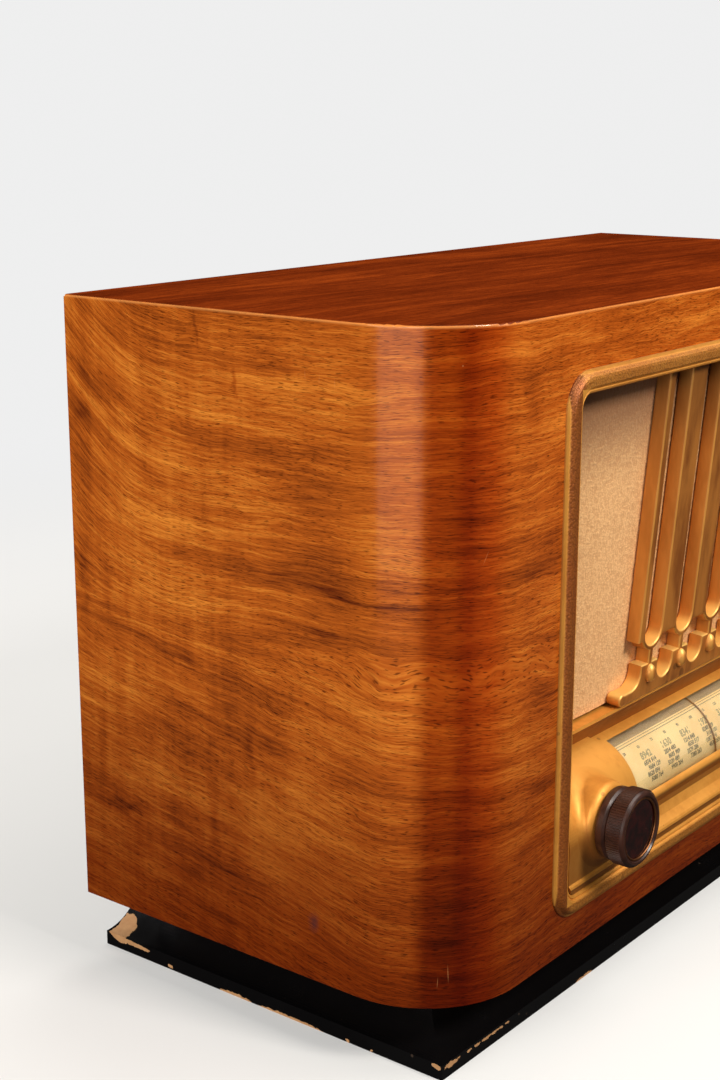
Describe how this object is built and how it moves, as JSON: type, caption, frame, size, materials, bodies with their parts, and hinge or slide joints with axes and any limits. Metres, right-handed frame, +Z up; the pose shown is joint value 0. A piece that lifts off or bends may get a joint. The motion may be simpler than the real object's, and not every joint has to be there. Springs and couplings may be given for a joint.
{
  "type": "radio receiver",
  "caption": "Table radio receiver: wooden cabinet on a moulded plinth, gilt frame with barred cloth grille, curved dial, front knobs with rings, working cord drive, loudspeaker and chassis.",
  "frame": {"origin": "on the table surface, under the middle of the whole object, knobs included", "axes": "+X to the right seen from the front, +Y to the back, +Z up; the knobs point along -Y"},
  "size_m": [0.532, 0.27, 0.3665],
  "materials": {
    "veneer": "semi-gloss lacquer",
    "top_veneer": "semi-gloss lacquer",
    "raw_wood": "plain, unfinished",
    "hardboard": "pressed board",
    "black_lacquer": "black lacquer, chipped",
    "gold_paint": "old gold paint",
    "cloth": "loose woven cloth",
    "bakelite": "polished brown",
    "inlay_red": "polished dark red",
    "clear": "clear sheet",
    "scale_card": "printed card",
    "cone_paper": "black paper pulp",
    "cord": "braided cord",
    "plated_steel": "dull plated",
    "grey_paint": "satin",
    "aluminium": "plain",
    "brass": "dull",
    "valve_glass": "clear",
    "rubber": "matt",
    "pointer_red": "satin"
  },
  "bodies": {
    "receiver": {"top_panel": "top_veneer", "bottom_panel": "raw_wood", "left_side": "veneer", "right_side": "veneer", "front_panel": "veneer", "plinth_front": "black_lacquer", "plinth_left": "black_lacquer", "plinth_right": "black_lacquer", "plinth_rear": "black_lacquer", "back_battens": "raw_wood", "back_cover": "hardboard", "back_screws": "brass", "escutcheon_frame": "gold_paint", "console_panel": "gold_paint", "grille_panel": "gold_paint", "grille_cloth": "cloth", "baffle_board": "raw_wood", "baffle_battens": "raw_wood", "speaker_basket": "grey_paint", "speaker_magnet": "plated_steel", "dial_glass": "clear", "dial_scale": "scale_card", "pointer_rail": "plated_steel", "dial_cord": "cord", "capacitor_frame": "aluminium", "capacitor_stator": "aluminium", "band_switch": "hardboard", "volume_pot": "plated_steel", "tone_pot": "plated_steel", "control_brackets": "plated_steel", "chassis": "plated_steel", "mains_transformer": "grey_paint", "output_transformer": "grey_paint", "smoothing_cans": "aluminium", "if_cans": "aluminium", "valve_bulbs": "valve_glass", "valve_bases": "bakelite", "dial_lamps": "valve_glass", "lamp_holders": "brass", "socket_strip": "bakelite", "rear_sockets": "brass", "cord_grommet": "rubber"},
    "tuning_drum": {"tuning_drum": "aluminium", "capacitor_rotor": "aluminium"},
    "pointer": {"pointer": "pointer_red", "pointer_carriage": "brass"},
    "tuning_knob": {"tuning_knob": "bakelite", "tuning_inlay": "inlay_red", "tuning_shaft": "plated_steel"},
    "idler_upper": {"idler_upper": "brass"},
    "idler_left": {"idler_left": "brass"},
    "idler_lower": {"idler_lower": "brass"},
    "band_ring": {"band_ring": "bakelite", "band_sleeve": "brass"},
    "volume_knob": {"volume_knob": "bakelite", "volume_inlay": "inlay_red", "volume_shaft": "plated_steel"},
    "tone_ring": {"tone_ring": "bakelite", "tone_sleeve": "brass"},
    "speaker_cone": {"speaker_cone": "cone_paper"}
  },
  "joints": [
    {"name": "tuning_drum_turn", "type": "hinge", "parent": "receiver", "child": "tuning_drum", "pos_m": [0.162, -0.063, 0.1615], "axis": [0, 1, 0], "range_deg": [-94.34, 85.66]},
    {"name": "pointer_slide", "type": "slide", "parent": "receiver", "child": "pointer", "axis": [1, 0, 0], "range_m": [-0.0875, 0.0795]},
    {"name": "tuning_knob_turn", "type": "hinge", "parent": "receiver", "child": "tuning_knob", "pos_m": [0.1327, -0.13, 0.1005], "axis": [0, 1, 0], "range_deg": [-771.88, 701.36]},
    {"name": "idler_upper_turn", "type": "hinge", "parent": "receiver", "child": "idler_upper", "pos_m": [0.10266, -0.063, 0.1245], "axis": [0, 1, 0], "range_deg": [-701.36, 771.88]},
    {"name": "idler_left_turn", "type": "hinge", "parent": "receiver", "child": "idler_left", "pos_m": [-0.104, -0.063, 0.106], "axis": [0, 1, 0], "range_deg": [-420.39, 382.2]},
    {"name": "idler_lower_turn", "type": "hinge", "parent": "receiver", "child": "idler_lower", "pos_m": [0.20834, -0.063, 0.1005], "axis": [0, 1, 0], "range_deg": [-771.88, 701.36]},
    {"name": "band_ring_turn", "type": "hinge", "parent": "receiver", "child": "band_ring", "pos_m": [0.1327, -0.12, 0.1005], "axis": [0, 1, 0], "range_deg": [-30, 60]},
    {"name": "volume_knob_turn", "type": "hinge", "parent": "receiver", "child": "volume_knob", "pos_m": [-0.1327, -0.13, 0.1005], "axis": [0, 1, 0], "range_deg": [-135, 135]},
    {"name": "tone_ring_turn", "type": "hinge", "parent": "receiver", "child": "tone_ring", "pos_m": [-0.1327, -0.12, 0.1005], "axis": [0, 1, 0], "range_deg": [-135, 135]},
    {"name": "cone_slide", "type": "slide", "parent": "receiver", "child": "speaker_cone", "axis": [0, 0.9964, 0.0844], "range_m": [-0.0015, 0.0015], "stiffness_N_per_m": 2000}
  ],
  "couplings": [
    {"joint": "pointer_slide", "follows": "tuning_drum_turn", "m_per_rad": 0.052839},
    {"joint": "tuning_knob_turn", "follows": "tuning_drum_turn", "ratio": 8.1291},
    {"joint": "idler_upper_turn", "follows": "tuning_drum_turn", "ratio": -8.1291},
    {"joint": "idler_left_turn", "follows": "tuning_drum_turn", "ratio": 4.4033},
    {"joint": "idler_lower_turn", "follows": "tuning_drum_turn", "ratio": 8.1291}
  ]
}
